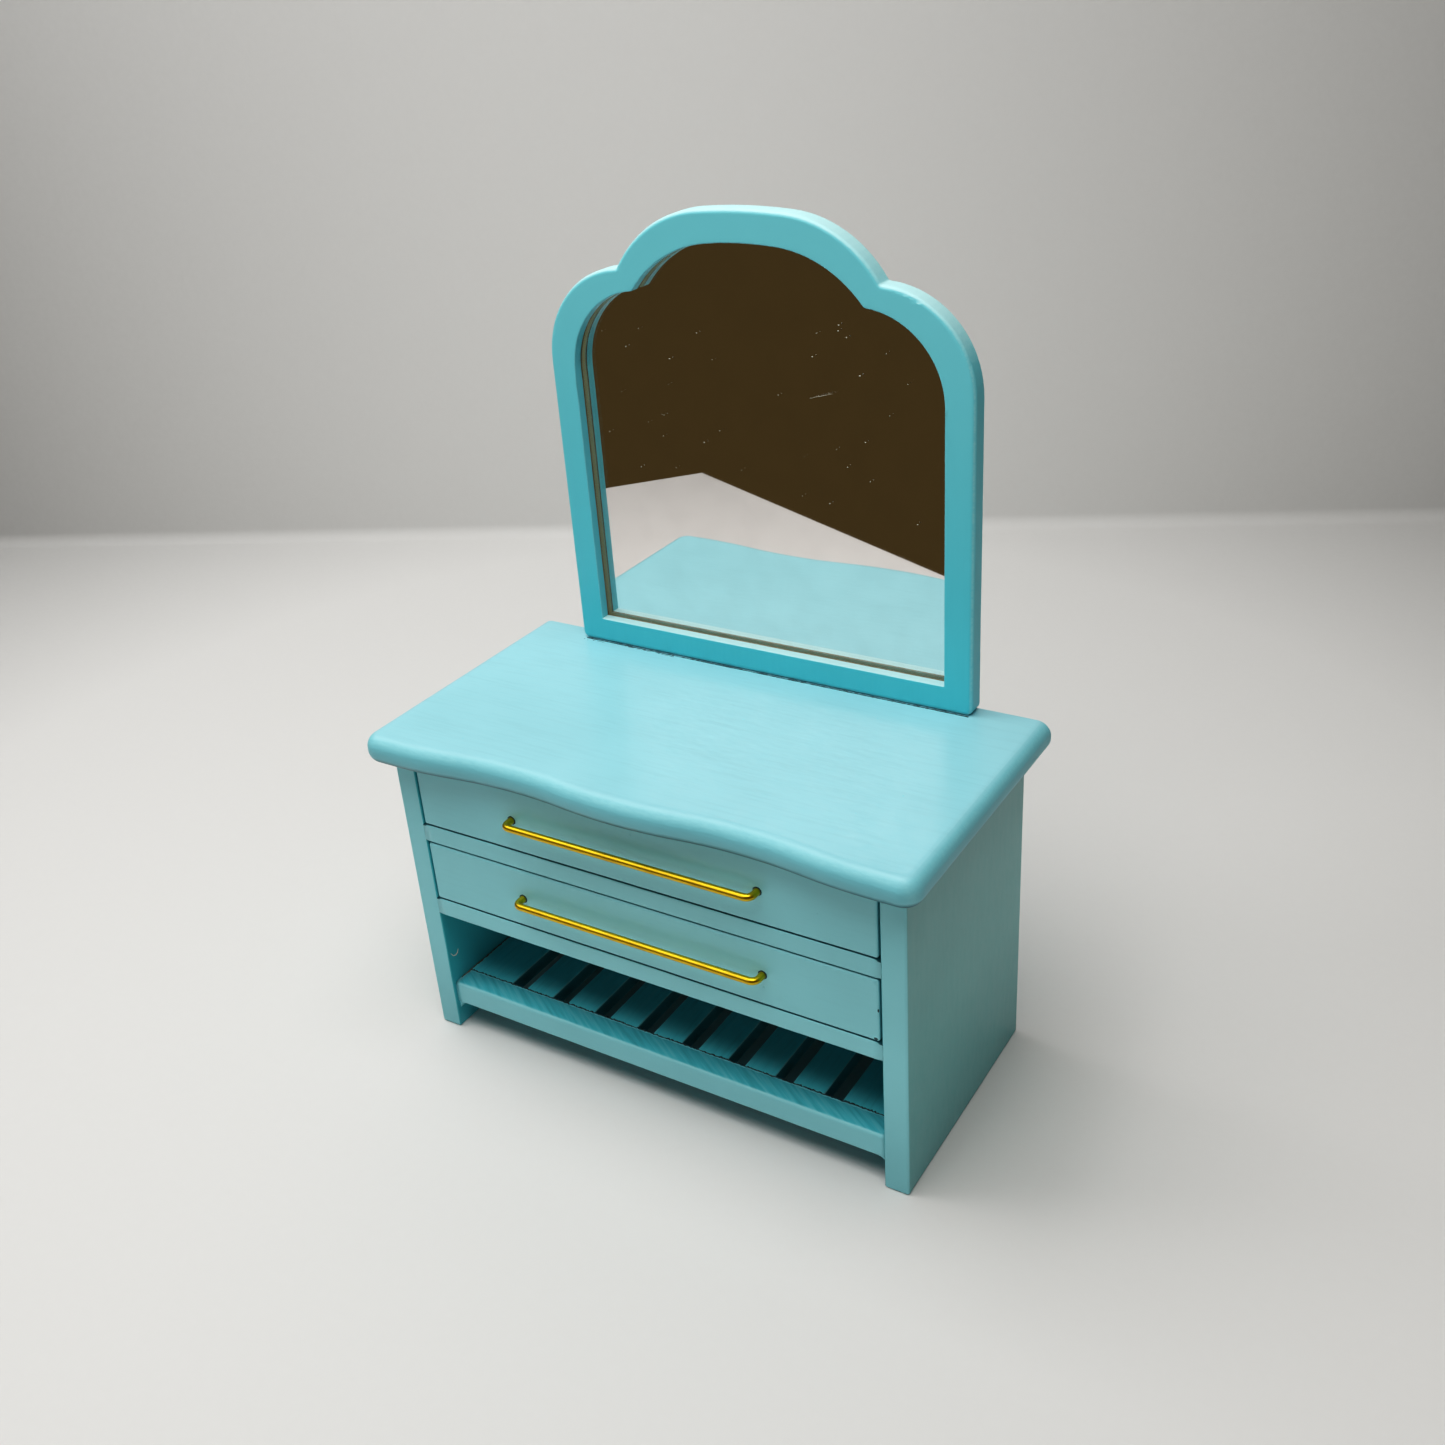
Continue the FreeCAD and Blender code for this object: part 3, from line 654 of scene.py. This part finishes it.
def slice_up(mesh_data, cell):
    """Cut a mesh along planes about one cell apart, so that its faces can be bent."""
    for axis in range(3):
        places = [vert.co[axis] for vert in mesh_data.verts]
        low, high = min(places), max(places)
        steps = max(1, round((high - low) / cell))
        normal = Vector([float(axis == other) for other in range(3)])
        for step in range(1, steps):
            geometry = mesh_data.verts[:] + mesh_data.edges[:] + mesh_data.faces[:]
            place = normal * (low + (high - low) * step / steps)
            bmesh.ops.bisect_plane(mesh_data, geom=geometry, dist=CUT_SLACK,
                                   plane_co=place, plane_no=normal)


def eased(mesh_data, edges, offset, segments):
    if edges and offset:
        bmesh.ops.bevel(mesh_data, geom=edges, offset=offset, segments=segments, profile=0.5,
                        affect="EDGES", clamp_overlap=True)


def sharp_edges(mesh_data):
    return [edge for edge in mesh_data.edges
            if edge.is_manifold and edge.calc_face_angle() > SHARP]


def runs_along(edge, axis):
    return abs((edge.verts[1].co - edge.verts[0].co).normalized()[axis]) > RUNS_ALONG


def crafted(node, cell, ease, corners, butted):
    """The CAD node's shape as a worked board: sharp edges eased, faces a little uneven. The
    edges along Y, which are a front's corners, may be eased more. A butted board keeps its
    two ends square, and they reach a little into the boards beside it, so that the paint
    runs over the joint."""
    mesh_data = bmesh.new()
    mesh_data.from_mesh(frame["nodes"][node].data)
    bmesh.ops.remove_doubles(mesh_data, verts=mesh_data.verts[:], dist=ONE_CORNER)
    bmesh.ops.dissolve_limit(mesh_data, angle_limit=ONE_FACE, verts=mesh_data.verts[:],
                             edges=mesh_data.edges[:])
    edges = sharp_edges(mesh_data)
    if butted:
        half = max(abs(vert.co.x) for vert in mesh_data.verts)
        ends = [vert for vert in mesh_data.verts if abs(abs(vert.co.x) - half) < AT_END]
        for vert in ends:
            vert.co.x += math.copysign(BUTT_REACH, vert.co.x)
        edges = [edge for edge in edges if runs_along(edge, 0)]
    elif corners:
        eased(mesh_data, [edge for edge in edges if runs_along(edge, 1)], corners,
              CORNER_STEPS)
        edges = sharp_edges(mesh_data)
    eased(mesh_data, edges, ease, EASE_STEPS)
    slice_up(mesh_data, cell)
    mesh_data.normal_update()
    moved = [hand_made(vert.co, vert.normal) for vert in mesh_data.verts]
    for vert, place in zip(mesh_data.verts, moved):
        vert.co = place
    mesh = bpy.data.meshes.new(node)
    mesh_data.to_mesh(mesh)
    mesh_data.free()
    mesh.shade_smooth()
    mesh.set_sharp_from_angle(angle=SHARP)
    return mesh


def craft_board(node, material, slot, cell, ease=WOOD_EASE, corners=0.0, butted=False):
    mesh = crafted(node, cell, ease, corners, butted)
    piece = show("shown_" + node, mesh, material, slot, BODY_OF[node], node)
    even_normals(piece)
    return piece


def make_boards():
    """Every board of the table, painted or bare."""
    # The fronts' and dividers' rims and the slats' sides are painted darker: painted shade in the
    # gaps.
    thick = {"face": AQUA_FRONT, "wear_and_highlight": 0.0, "square": True, "peel_depth": 0.032}
    paints = {"top_board": top_paint(),
              "side_panel": side_paint(),
              "back_panel": aqua_paint("aqua_back", 0, faces=1, face=AQUA_INSIDE),
              "divider": aqua_paint("aqua_dividers", 0, faces=1, rim=AQUA_SHADED, **thick),
              "shelf_": aqua_paint("aqua_rails", 0, faces=2, face=AQUA_RAIL, rim=AQUA_RAIL_FRONT,
                                   turned=STROKE_TURN, streaks=0.28, brush=0.020, wear_and_highlight=0.20),
              "drawer_front": aqua_paint("aqua_fronts", 0, faces=1, rim=AQUA_FRONT_RIM, **thick),
              "shelf_slat": aqua_paint("aqua_slats", 1, faces=2, face=AQUA_SLAT, rim=AQUA_SLAT_SIDE,
                                       streaks=0.12, brush=0.010, wear_and_highlight=0.60, wear_and_highlight_to=BROWN_EDGE,
                                       square=True),
              "mirror_frame": frame_paint()}
    wood = [bare_wood(f"bare_wood_{name}", axis) for axis, name in enumerate("xyz")]
    for node in sorted(frame["nodes"]):
        kinds = [kind for kind in paints if kind in node]
        if kinds:
            kind = max(kinds, key=len)
            craft_board(node, paints[kind].material, "aqua_paint", CELLS[kind] * MM,
                        ease=EASES.get(kind, BOARD_EASE),
                        corners=FRONT_CORNER if kind == "drawer_front" else 0.0,
                        butted=kind == "divider" or node == "shelf_front_rail")
        elif "_drawer_side" in node:
            craft_board(node, wood[1], "bare_wood", WOOD_CELL * MM)
        elif node.endswith(("_drawer_back", "_drawer_bottom")):
            craft_board(node, wood[0], "bare_wood", WOOD_CELL * MM)
    recolour("mirror_dowels", wood[2])


def recolour(node, material):
    """Keep a CAD node as it is, with a better material."""
    for slot in frame["nodes"][node].material_slots:
        slot.link = "OBJECT"
        slot.material = material


def closed_mesh(name, corners, faces):
    """A closed mesh with its faces turned outward, smooth but for its sharp edges."""
    mesh = bpy.data.meshes.new(name)
    mesh.from_pydata(corners, [], faces)
    mesh_data = bmesh.new()
    mesh_data.from_mesh(mesh)
    bmesh.ops.recalc_face_normals(mesh_data, faces=mesh_data.faces[:])
    mesh_data.to_mesh(mesh)
    mesh_data.free()
    mesh.shade_smooth()
    mesh.set_sharp_from_angle(angle=SHARP)
    return mesh


# ---------------------------------------------------------------- the pulls

WIRE_SIDES = 20
FINE_SIDES = 8
WIRE_SLACK = 0.01 * MM
BEND_RADIUS = 1.1 * MM
BEND_STEPS = 8
RUN_STEPS = 30
STUB_SHOWN = 0.2 * MM
SOCKET_RADII = Vector((0.80, 0.05, 0.80)) * MM


def tube(name, centres, radii, up=Vector((0, 0, 1)), flat=1.0, sides=WIRE_SIDES):
    """A closed tube through the points, with a radius at each. It may be flattened along
    up, which the path must not follow."""
    rings, faces = [], []
    for index, centre in enumerate(centres):
        before, after = centres[max(index - 1, 0)], centres[min(index + 1, len(centres) - 1)]
        along = (after - before).normalized()
        side = along.cross(up).normalized()
        over = side.cross(along) * flat
        for step in range(sides):
            angle = 2 * math.pi * step / sides
            rings.append(centre + (side * math.cos(angle) + over * math.sin(angle)) * radii[index])
    for ring in range(len(centres) - 1):
        for step in range(sides):
            near, far = ring * sides, (ring + 1) * sides
            following = (step + 1) % sides
            faces.append((near + step, near + following, far + following, far + step))
    faces.append(tuple(reversed(range(sides))))
    faces.append(tuple(range(len(rings) - sides, len(rings))))
    return closed_mesh(name, rings, faces)


def wire_bend(side, reach, level, begins, inward):
    """A quarter turn of the wire, from pointing along Y to pointing along X."""
    centre = Vector((side + inward * BEND_RADIUS, reach + BEND_RADIUS, level))
    angles = [begins + inward * math.pi / 2 * step / BEND_STEPS for step in range(BEND_STEPS + 1)]
    return [centre + Vector((math.cos(angle), math.sin(angle), 0)) * BEND_RADIUS
            for angle in angles]


def make_pulls(material, crevice):
    """Wire bent twice, from hole to hole, along the middle of the CAD wire."""
    for node in ("lower_drawer_pull", "upper_drawer_pull"):
        low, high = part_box(node)
        radius = (high.z - low.z) / 2
        middle = (low.z + high.z) / 2
        reach, root = low.y + radius, high.y
        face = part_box(node.replace("pull", "front"))[0].y
        left, right = low.x + radius, high.x - radius
        first_bend = wire_bend(left, reach, middle, math.pi, 1)
        last_bend = wire_bend(right, reach, middle, 0.0, -1)[::-1]
        run = [first_bend[-1].lerp(last_bend[0], step / RUN_STEPS) for step in range(1, RUN_STEPS)]
        first_end = [Vector((left, root, middle)), Vector((left, face - STUB_SHOWN, middle))]
        last_end = [Vector((right, face - STUB_SHOWN, middle)), Vector((right, root, middle))]
        path = first_end + first_bend + run + last_bend + last_end
        mesh = tube(node, path, [radius - WIRE_SLACK] * len(path))
        show("shown_" + node, mesh, material, "brass_wire", BODY_OF[node], node)
        # Dark rings where the wire enters the front: painted shade in the holes.
        sockets = [(Vector((side, face, middle)), SOCKET_RADII, 0.0) for side in (left, right)]
        show(node + "_sockets", specks("sockets", sockets), crevice, "aqua_paint", BODY_OF[node])


# ---------------------------------------------------------------- the mirror

SILVER_THICK = 0.02 * MM
SILVER_GAP = 0.001 * MM
PANE_SLACK = 0.03 * MM
BOARD_SUNK = 0.08 * MM


def flattened(node, name, front, back):
    """The node's outline as a sheet between two distances along Y."""
    low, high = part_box(node)
    mesh = frame["nodes"][node].data.copy()
    mesh.name = name
    for vert in mesh.vertices:
        share = (vert.co.y - low.y) / (high.y - low.y)
        vert.co.y = front + share * (back - front)
    return mesh


def make_mirror():
    """A clear pane with silver behind it, and the backing that holds them in the rebate."""
    low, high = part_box("mirror_glass")
    silver_front = high.y - SILVER_THICK
    pane = flattened("mirror_glass", "pane", low.y + PANE_SLACK, silver_front - SILVER_GAP)
    show("mirror_pane", pane, clear_glass(), "silvered_glass", "cabinet", "mirror_glass")
    silver = flattened("mirror_glass", "silver", silver_front, high.y)
    show("mirror_silver", silver, silvering(), "silvered_glass", "cabinet")
    low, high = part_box("mirror_backing")
    board = flattened("mirror_backing", "board", low.y, high.y - BOARD_SUNK)
    show("shown_mirror_backing", board, pressed_board(), "backing_board", "cabinet",
         "mirror_backing")


# ---------------------------------------------------------------- marks of making and use

# Thin uneven lines: how far each wanders, its radius and the step between its points, in mm,
# and how flat it is. Its radius swells and shrinks between two parts of itself.
LINES = {"crack": (0.03, 0.16, 0.35, 0.5), "hairline": (0.05, 0.07, 0.35, 0.5),
         "bead": (0.02, 0.10, 0.35, 0.5), "seam": (0.16, 0.15, 0.28, 0.5),
         "ridge": (0.05, 0.13, 0.35, 0.3), "split": (0.10, 0.16, 0.35, 0.5)}
LINE_SWELL = (0.45, 1.3)

# The crack along the mirror's foot is just ahead of the frame and stops short of its ends. A
# bead of paint lies ahead of the crack.
FOOT_AHEAD = 0.07 * MM
FOOT_SHORT_LEFT = 0.9 * MM
FOOT_SHORT_RIGHT = 0.5 * MM
BEAD_AHEAD = 0.26 * MM
# Beside the crack, in mm from the frame's left end: where hairline cracks begin and end and how
# far ahead they come, and chips of paint with their distance ahead and size.
FOOT_HAIRLINES = ((1.2, 4.6, 0.40), (7.5, 12.5, 0.30), (13.0, 19.5, 0.42))
FOOT_CHIPS = ((0.7, 0.55, 0.13), (1.5, 0.75, 0.09), (2.6, 0.50, 0.11), (4.9, 0.55, 0.07),
              (12.9, 0.60, 0.07))
HAIRLINE_BEGINS = 0.6
CHIP_WIDTH = 0.6
CHIP_THICK = 0.03

# On the shelf: how far in front of the slats' ends the seam and the ridge of paint are, and how
# far they stop short of the sides. The split lies beside the first slat.
SEAM_AHEAD = 0.06 * MM
RIDGE_AHEAD = 0.30 * MM
SEAM_SHORT = 0.2 * MM
SPLIT_IN = 0.12 * MM
SPLIT_SLANT = 0.15 * MM
SPLIT_FRONT = 2.6 * MM
SPLIT_BACK = 12.0 * MM
FILLET = 1.3 * MM
FILLET_STEPS = 8
FILLET_SUNK = 0.1 * MM
FILLET_FRONT = 0.25 * MM
FILLET_BACK = 2.1 * MM

# On the glass, in mm: the flecks' margins at the sides, foot and crest, their size and turn,
# and one long smear. A fleck's width is a part of its length.
DUST_FLECKS = 36
DUST_MARGINS = (4, 25, 12)
FLECK_LENGTHS = (0.07, 0.19)
FLECK_WIDTHS = (0.3, 0.7)
FLECK_THICK = 0.02
FLECK_TURNS = (-0.7, 0.2)
SMEAR_PLACE = Vector((11.6, 0, 106.9))
SMEAR_RADII = Vector((2.5, 0.008, 0.03))
SMEAR_TURN = math.radians(-15)

# A fibre inside the left side, in mm: Y, Z and radius along it.
FIBRE = ((-20.0, 15.5, 0.04), (-19.5, 14.7, 0.08), (-18.9, 14.5, 0.10), (-18.4, 14.7, 0.08),
         (-18.1, 15.3, 0.04))
FIBRE_OUT = 0.05 * MM

# Grit under the paint, in mm: X, Y and radius on the top, and how many lumps on each front.
TOP_NIBS = ((-32.5, -17.8, 0.16), (37.6, -4.5, 0.18), (33.6, -11.5, 0.12), (5.0, 6.0, 0.15),
            (-20.0, 10.0, 0.12), (24.0, 15.0, 0.14))
TOP_NIB_HIGH = 0.05
TOP_NIB_SUNK = 0.035
FRONT_NIBS = {"upper_drawer_front": 7, "lower_drawer_front": 6}
FRONT_NIB_SIZES = (0.10, 0.18)
FRONT_NIB_HIGH = 0.06
FRONT_NIB_SUNK = 0.02
FRONT_NIB_MARGINS = (2, 1)

# At the lower drawer's right end, in mm: distance in and up, and radii along X and Z.
NICKS = ((0.60, 0.46, 0.38, 0.26), (0.14, 5.6, 0.12, 0.30))
NICK_SUNK = 0.06
NICK_THICK = 0.10


def specks(name, spots, roundness=2):
    """One mesh of small lumps. Each spot is a place, three radii and a turn about Y."""
    mesh_data = bmesh.new()
    for place, radii, turn in spots:
        shape = (Matrix.Translation(place) @ Matrix.Rotation(turn, 4, "Y")
                 @ Matrix.Diagonal((*radii, 1.0)))
        bmesh.ops.create_icosphere(mesh_data, subdivisions=roundness, radius=1.0, matrix=shape)
    mesh = bpy.data.meshes.new(name)
    mesh_data.to_mesh(mesh)
    mesh_data.free()
    mesh.shade_smooth()
    return mesh


def ragged_line(name, start, end):
    """A thin uneven line of paint or shadow that lies on a level face."""
    *sizes, flat = LINES[name]
    wander, radius, step = [size * MM for size in sizes]
    count = max(2, round((end - start).length / step))
    across = (end - start).normalized().cross(Vector((0, 0, 1)))
    centres = [start.lerp(end, index / count) + across * random.uniform(-wander, wander)
               for index in range(count + 1)]
    radii = [radius * random.uniform(*LINE_SWELL) for _ in centres]
    return tube(name, centres, radii, flat=flat, sides=FINE_SIDES)


def make_mirror_foot(crevice, paint):
    """The paint has cracked along the frame's foot, twice towards the left. The cracks and chips
    are drawn as dark lines and spots of painted shade, with a bead of paint ahead of them.
    """
    low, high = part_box("mirror_frame")
    level = low.z
    front = low.y - FOOT_AHEAD
    left, right = low.x + FOOT_SHORT_LEFT, high.x - FOOT_SHORT_RIGHT
    main = ragged_line("crack", Vector((left, front, level)), Vector((right, front, level)))
    show("foot_crack", main, crevice, "aqua_paint", "cabinet")
    for index, (begin, finish, ahead) in enumerate(FOOT_HAIRLINES):
        start = Vector((low.x + begin * MM, front - ahead * MM * HAIRLINE_BEGINS, level))
        end = Vector((low.x + finish * MM, front - ahead * MM, level))
        mesh = ragged_line("hairline", start, end)
        show(f"foot_hairline_{index + 1}", mesh, crevice, "aqua_paint", "cabinet")
    chips = [(Vector((low.x + along * MM, front - ahead * MM, level)),
              Vector((size, size * CHIP_WIDTH, CHIP_THICK)) * MM, 0.0)
             for along, ahead, size in FOOT_CHIPS]
    show("foot_chips", specks("chips", chips), crevice, "aqua_paint", "cabinet")
    bead = ragged_line("bead", Vector((left, front - BEAD_AHEAD, level)),
                       Vector((right, front - BEAD_AHEAD, level)))
    show("foot_bead", bead, paint, "aqua_paint", "cabinet")


def make_shelf_marks(crevice, paint, wood):
    """A ragged dark line of painted shade where the slats meet the front rail, with a ridge of
    paint in front of it, a split beside the first slat, and fillets of paint under the rail's ends."""
    slat_low, slat_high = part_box("shelf_slat_1")
    rail_low, rail_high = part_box("shelf_front_rail")
    level, seam = slat_high.z, slat_low.y
    left, right = rail_low.x + SEAM_SHORT, rail_high.x - SEAM_SHORT
    line = ragged_line("seam", Vector((left, seam - SEAM_AHEAD, level)),
                       Vector((right, seam - SEAM_AHEAD, level)))
    show("rail_seam", line, crevice, "aqua_paint", "cabinet")
    ridge = ragged_line("ridge", Vector((left, seam - RIDGE_AHEAD, level)),
                        Vector((right, seam - RIDGE_AHEAD, level)))
    show("rail_ridge", ridge, paint, "aqua_paint", "cabinet")
    wall = slat_low.x + SPLIT_IN
    split = ragged_line("split", Vector((wall, seam - SPLIT_FRONT, level)),
                        Vector((wall + SPLIT_SLANT, seam + SPLIT_BACK, level)))
    show("slat_split", split, wood, "bare_wood", "cabinet")
    for side, name in ((rail_low.x, "left"), (rail_high.x, "right")):
        inward = math.copysign(1.0, -side)
        show(f"rail_fillet_{name}", fillet(side, inward, rail_low, rail_high), paint,
             "aqua_paint", "cabinet")


def fillet(side, inward, low, high):
    """A hollow fillet under one end of the front rail, against the side panel."""
    curve = [Vector((side - inward * FILLET_SUNK, 0, low.z + FILLET_SUNK)),
             Vector((side + inward * FILLET, 0, low.z + FILLET_SUNK))]
    for step in range(FILLET_STEPS + 1):
        angle = math.pi / 2 * step / FILLET_STEPS
        curve.append(Vector((side + inward * FILLET * (1 - math.sin(angle)), 0,
                             low.z - FILLET * (1 - math.cos(angle)))))
    curve.append(Vector((side - inward * FILLET_SUNK, 0, low.z - FILLET)))
    front, back = low.y + FILLET_FRONT, high.y - FILLET_BACK
    count = len(curve)
    corners = [point + Vector((0, away, 0)) for away in (front, back) for point in curve]
    faces = [(i, (i + 1) % count, count + (i + 1) % count, count + i) for i in range(count)]
    faces += [tuple(reversed(range(count))), tuple(range(count, 2 * count))]
    return closed_mesh("fillet", corners, faces)


def make_dust(dust):
    """Flecks of dust on the mirror, one long smear, and a fibre stuck in the paint inside
    the left side."""
    low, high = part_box("mirror_glass")
    face = low.y + PANE_SLACK
    sides, foot, crest = [margin * MM for margin in DUST_MARGINS]
    flecks = []
    for _ in range(DUST_FLECKS):
        place = Vector((random.uniform(low.x + sides, high.x - sides), face,
                        random.uniform(low.z + foot, high.z - crest)))
        length = random.uniform(*FLECK_LENGTHS)
        radii = Vector((length, FLECK_THICK, length * random.uniform(*FLECK_WIDTHS))) * MM
        flecks.append((place, radii, random.uniform(*FLECK_TURNS)))
    flecks.append((SMEAR_PLACE * MM + Vector((0, face, 0)), SMEAR_RADII * MM, SMEAR_TURN))
    show("glass_dust", specks("dust", flecks, roundness=1), dust, "silvered_glass", "cabinet")
    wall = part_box("side_panel_left")[1].x + FIBRE_OUT
    fibre = tube("fibre", [Vector((wall, y * MM, z * MM)) for y, z, _ in FIBRE],
                 [radius * MM for _, _, radius in FIBRE], up=Vector((1, 0, 0)), sides=FINE_SIDES)
    show("stuck_fibre", fibre, dust, "aqua_paint", "cabinet")


def make_nibs(paint):
    """Small lumps of grit under the paint."""
    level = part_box("top_board")[1].z - TOP_NIB_SUNK * MM
    spots = [(Vector((x * MM, y * MM, level)), Vector((size, size, TOP_NIB_HIGH)) * MM, 0.0)
             for x, y, size in TOP_NIBS]
    show("top_nibs", specks("nibs", spots), paint, "aqua_paint", "cabinet")
    sides, ends = [margin * MM for margin in FRONT_NIB_MARGINS]
    for node, count in FRONT_NIBS.items():
        low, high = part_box(node)
        spots = []
        for _ in range(count):
            size = random.uniform(*FRONT_NIB_SIZES)
            place = Vector((random.uniform(low.x + sides, high.x - sides),
                            low.y + FRONT_NIB_SUNK * MM,
                            random.uniform(low.z + ends, high.z - ends)))
            spots.append((place, Vector((size, FRONT_NIB_HIGH, size)) * MM, 0.0))
        show(node + "_nibs", specks("nibs", spots), paint, "aqua_paint", BODY_OF[node])


def make_nicks(crevice):
    """A broken corner and a nick at the lower drawer's right end, as dark spots of painted shade.
    """
    low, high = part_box("lower_drawer_front")
    spots = [(Vector((high.x - inward * MM, low.y + NICK_SUNK * MM, low.z + up * MM)),
              Vector((wide, NICK_THICK, tall)) * MM, 0.0)
             for inward, up, wide, tall in NICKS]
    show("lower_drawer_nicks", specks("nicks", spots), crevice, "aqua_paint",
         BODY_OF["lower_drawer_front"])


# ---------------------------------------------------------------- the whole scene

random.seed(12)
noise.seed_set(12)  # the board waves come from this, which the clock would seed otherwise
make_camera()
make_surround()
make_stage(pale_sheet())
make_lamps()
CREVICE = shaded_paint()
PLAIN_PAINT = aqua_paint("aqua_plain", 0, faces=2).material
make_boards()
make_pulls(drawn_brass(), CREVICE)
make_mirror()
make_mirror_foot(CREVICE, PLAIN_PAINT)
make_shelf_marks(CREVICE, PLAIN_PAINT, bare_wood("worn_wood", 1, WORN_WOOD))
make_dust(pale_dust())
make_nibs(PLAIN_PAINT)
make_nicks(CREVICE)
set_view()
